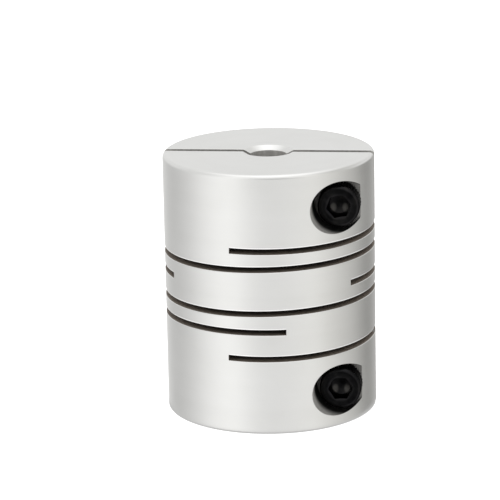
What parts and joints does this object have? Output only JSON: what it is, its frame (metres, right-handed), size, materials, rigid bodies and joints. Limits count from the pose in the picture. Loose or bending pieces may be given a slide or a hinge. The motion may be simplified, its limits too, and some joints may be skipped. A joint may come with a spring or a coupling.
{
  "type": "beam coupling",
  "caption": "One-piece flexible shaft coupling: a slotted aluminium cylinder whose clamp hubs grip two shaft ends in a central bore.",
  "frame": {"origin": "centre of the body, on the bore axis, halfway between the two end faces", "axes": "+Z along the bore axis, towards the upper end face; -Y is the side the screw heads face; +X is the side the clamp screws stand on"},
  "size_m": [0.025, 0.025, 0.031],
  "materials": {
    "aluminium_body": "satin turned, fine circumferential tool marks, lightly polished",
    "black_screw": "black oxide alloy steel, slightly oiled"
  },
  "bodies": {
    "lower_hub": {"lower_front_jaw": "aluminium_body", "flex_web_6": "aluminium_body"},
    "lower_clamp_jaw": {"lower_rear_jaw": "aluminium_body"},
    "lower_screw": {"lower_clamp_screw": "black_screw"},
    "disc_5": {"beam_disc_5": "aluminium_body", "flex_web_5": "aluminium_body"},
    "disc_4": {"beam_disc_4": "aluminium_body", "flex_web_4": "aluminium_body"},
    "disc_3": {"beam_disc_3": "aluminium_body", "flex_web_3": "aluminium_body"},
    "disc_2": {"beam_disc_2": "aluminium_body", "flex_web_2": "aluminium_body"},
    "disc_1": {"beam_disc_1": "aluminium_body", "flex_web_1": "aluminium_body"},
    "upper_hub": {"upper_front_jaw": "aluminium_body"},
    "upper_clamp_jaw": {"upper_rear_jaw": "aluminium_body"},
    "upper_screw": {"upper_clamp_screw": "black_screw"}
  },
  "joints": [
    {"name": "flex_6", "type": "hinge", "parent": "lower_hub", "child": "disc_5", "pos_m": [-0.00813, 0, -0.00615], "axis": [0, 1, 0], "range_deg": [-0.67, 0.67], "deforming": ["flex_web_6"]},
    {"name": "flex_5", "type": "hinge", "parent": "disc_5", "child": "disc_4", "pos_m": [0.00777, 0, -0.00344], "axis": [0, 1, 0], "range_deg": [-0.67, 0.67], "deforming": ["flex_web_5"]},
    {"name": "flex_4", "type": "hinge", "parent": "disc_4", "child": "disc_3", "pos_m": [0, 0.0097, -0.00094], "axis": [1, 0, 0], "range_deg": [-0.67, 0.67], "deforming": ["flex_web_4"]},
    {"name": "flex_3", "type": "hinge", "parent": "disc_3", "child": "disc_2", "pos_m": [0, -0.00971, 0.00168], "axis": [1, 0, 0], "range_deg": [-0.67, 0.67], "deforming": ["flex_web_3"]},
    {"name": "flex_2", "type": "hinge", "parent": "disc_2", "child": "disc_1", "pos_m": [0, 0.0097, 0.00433], "axis": [1, 0, 0], "range_deg": [-0.67, 0.67], "deforming": ["flex_web_2"]},
    {"name": "flex_1", "type": "hinge", "parent": "disc_1", "child": "upper_hub", "pos_m": [-0.00797, 0, 0.00672], "axis": [0, 1, 0], "range_deg": [-0.67, 0.67], "deforming": ["flex_web_1"]},
    {"name": "lower_clamp_close", "type": "hinge", "parent": "lower_hub", "child": "lower_clamp_jaw", "pos_m": [-0.008, 0, -0.0111], "axis": [0, 0, -1], "range_deg": [0, 0.9]},
    {"name": "upper_clamp_close", "type": "hinge", "parent": "upper_hub", "child": "upper_clamp_jaw", "pos_m": [-0.008, 0, 0.0109], "axis": [0, 0, -1], "range_deg": [0, 0.9]},
    {"name": "lower_screw_turn", "type": "hinge", "parent": "lower_hub", "child": "lower_screw", "pos_m": [0.0089, 0, -0.0111], "axis": [0, 1, 0], "range_deg": [0, 180]},
    {"name": "upper_screw_turn", "type": "hinge", "parent": "upper_hub", "child": "upper_screw", "pos_m": [0.0089, 0, 0.0109], "axis": [0, 1, 0], "range_deg": [0, 180]}
  ],
  "couplings": [
    {"joint": "lower_clamp_close", "follows": "lower_screw_turn", "ratio": 0.00485},
    {"joint": "upper_clamp_close", "follows": "upper_screw_turn", "ratio": 0.00485}
  ]
}
